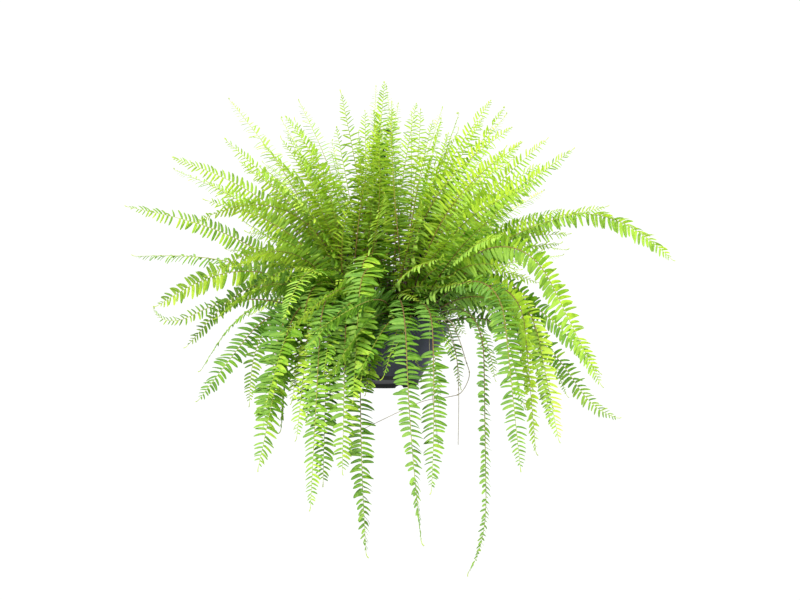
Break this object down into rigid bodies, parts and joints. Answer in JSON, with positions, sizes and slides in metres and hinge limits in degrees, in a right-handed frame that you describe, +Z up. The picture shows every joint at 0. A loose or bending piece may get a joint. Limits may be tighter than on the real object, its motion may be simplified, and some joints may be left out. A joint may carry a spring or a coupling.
{
  "type": "hanging potted fern",
  "caption": "Leafy sword fern with arching and trailing feathery fronds, growing in a round tapered plastic hanging pot with a legged hook hanger.",
  "frame": {"origin": "where the inside of the hook rests on whatever holds the part up, straight above the centre of the pot", "axes": "+Z up; -Y is the front; +X to the right seen from the front"},
  "size_m": [1.1204, 0.7688, 1.0177],
  "materials": {
    "pot": "satin moulded plastic",
    "hanger": "satin moulded plastic",
    "soil": "crumbly peat and bark",
    "crown": "scaly, fibrous",
    "leaf": "soft satin leaf",
    "runner": "dry, matte"
  },
  "bodies": {
    "root": {"pot": "pot", "potting_soil": "soil", "crown_left": "crown", "crown_right": "crown", "hanger_hook": "hanger", "hanger_leg_1": "hanger", "hanger_leg_2": "hanger", "hanger_leg_3": "hanger", "runner_1": "runner", "runner_2": "runner", "runner_3": "runner", "frond_01": "leaf", "frond_02": "leaf", "frond_03": "leaf", "frond_04": "leaf", "frond_05": "leaf", "frond_06": "leaf", "frond_07": "leaf", "frond_08": "leaf", "frond_09": "leaf", "frond_10": "leaf", "frond_11": "leaf", "frond_12": "leaf", "frond_13": "leaf", "frond_14": "leaf", "frond_15": "leaf", "frond_16": "leaf", "frond_17": "leaf", "frond_18": "leaf", "frond_19": "leaf", "frond_20": "leaf", "frond_21": "leaf", "frond_22": "leaf", "frond_23": "leaf", "frond_24": "leaf", "frond_25": "leaf", "frond_26": "leaf", "frond_27": "leaf", "frond_28": "leaf", "frond_29": "leaf", "frond_30": "leaf", "frond_31": "leaf", "frond_32": "leaf", "frond_33": "leaf", "frond_34": "leaf", "frond_35": "leaf", "frond_36": "leaf", "frond_37": "leaf", "frond_38": "leaf", "frond_39": "leaf", "frond_40": "leaf", "frond_41": "leaf", "frond_42": "leaf", "frond_43": "leaf", "frond_44": "leaf"}
  },
  "joints": []
}
